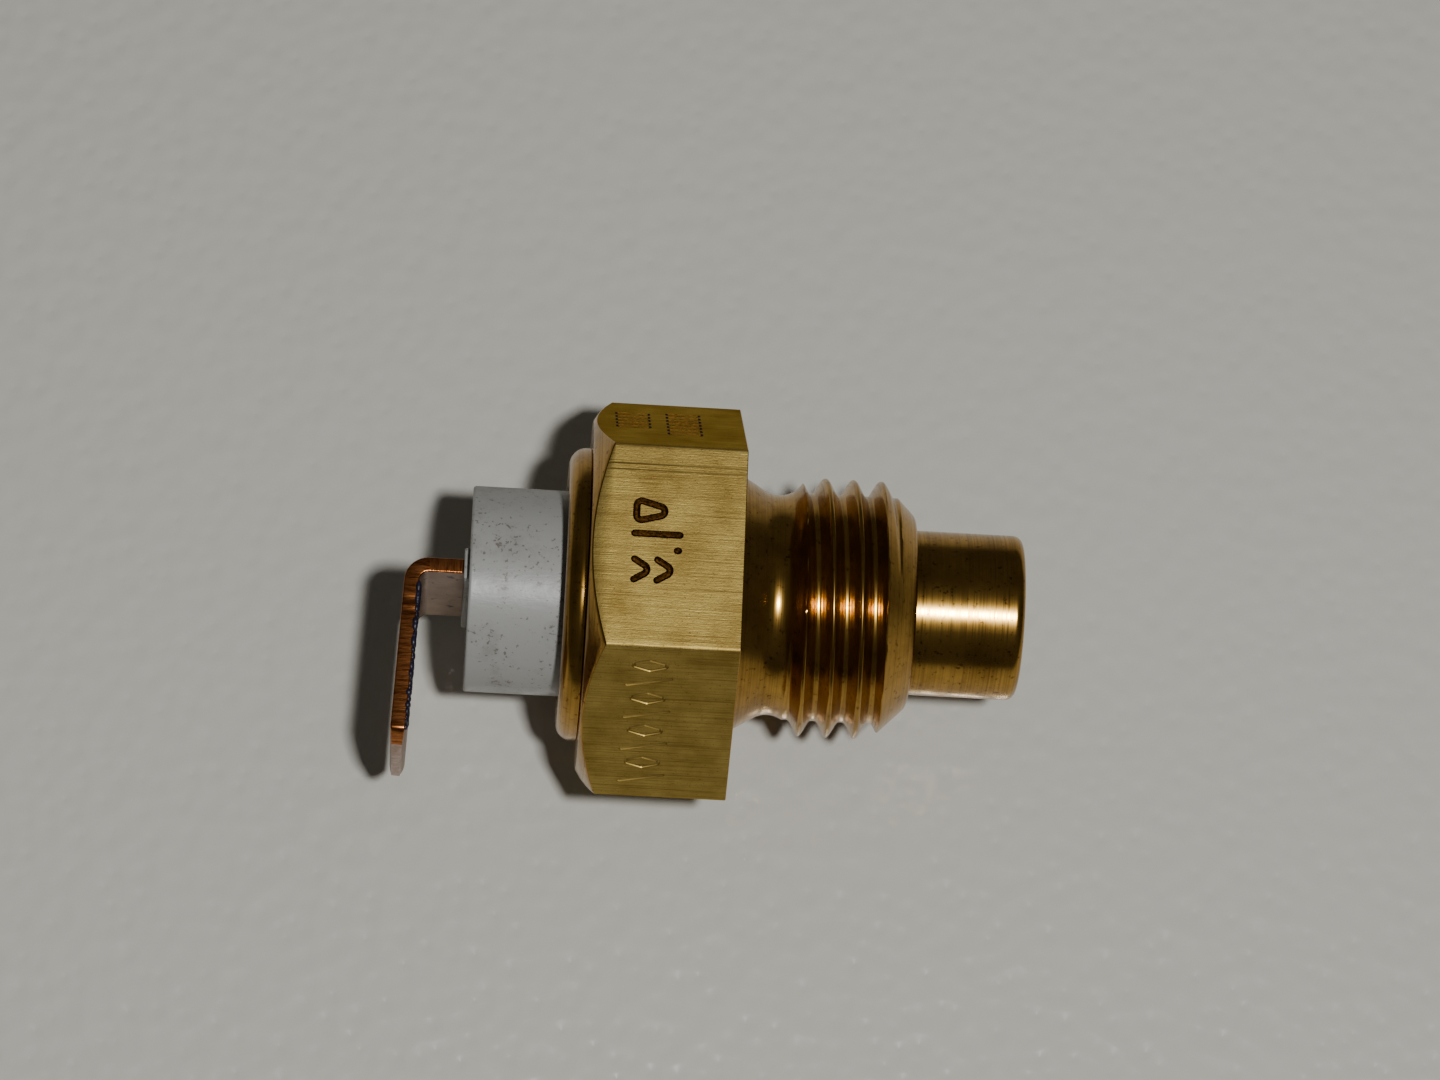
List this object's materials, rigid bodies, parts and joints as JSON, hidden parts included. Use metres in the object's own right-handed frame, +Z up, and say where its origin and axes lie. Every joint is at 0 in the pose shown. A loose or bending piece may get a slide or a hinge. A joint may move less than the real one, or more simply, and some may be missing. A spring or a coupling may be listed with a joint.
{
  "type": "temperature sender",
  "caption": "Screw-in brass temperature sender with a hexagon, a threaded shank, a closed probe nose, a grey insulator in a rolled rim and a bent blade terminal.",
  "frame": {"origin": "where the body's axis meets the sealing face of the hexagon, which is the seat of the threaded interface", "axes": "+X along the body's axis toward the probe nose, +Z up, square to the hexagon flat that faces up while the part lies on the opposite flat; the blade's bent leg points to -Y"},
  "size_m": [0.0332, 0.022, 0.019],
  "materials": {
    "body_brass": "drawn hexagon bar, turned and lightly tarnished",
    "insulator_plastic": "moulded, satin, slightly dirty",
    "terminal_copper": "sheared copper edges, dull tinned faces",
    "washer_steel": "stamped",
    "seal_rubber": "moulded, matt",
    "contact_brass": "turned and tin plated",
    "spring_bronze": "drawn phosphor bronze wire",
    "sleeve_film": "smooth extruded tube",
    "pill_ceramic": "sintered, silvered faces",
    "disc_copper": "soft annealed copper",
    "paste_white": "smeared paste"
  },
  "bodies": {
    "housing": {"sensor_body": "body_brass", "insulator": "insulator_plastic", "blade_terminal": "terminal_copper", "crimp_washer": "washer_steel", "seal_ring": "seal_rubber", "spring_seat": "contact_brass", "contact_spring": "spring_bronze", "insulating_sleeve": "sleeve_film", "thermistor_pill": "pill_ceramic", "contact_disc": "disc_copper", "thermal_paste": "paste_white"},
    "contact": {"contact_cap": "contact_brass"}
  },
  "joints": [
    {"name": "contact_slide", "type": "slide", "parent": "housing", "child": "contact", "axis": [-1, 0, 0], "range_m": [0, 0.0008], "stiffness_N_per_m": 780, "springref_m": -0.0015, "deforming": ["contact_spring"]}
  ]
}
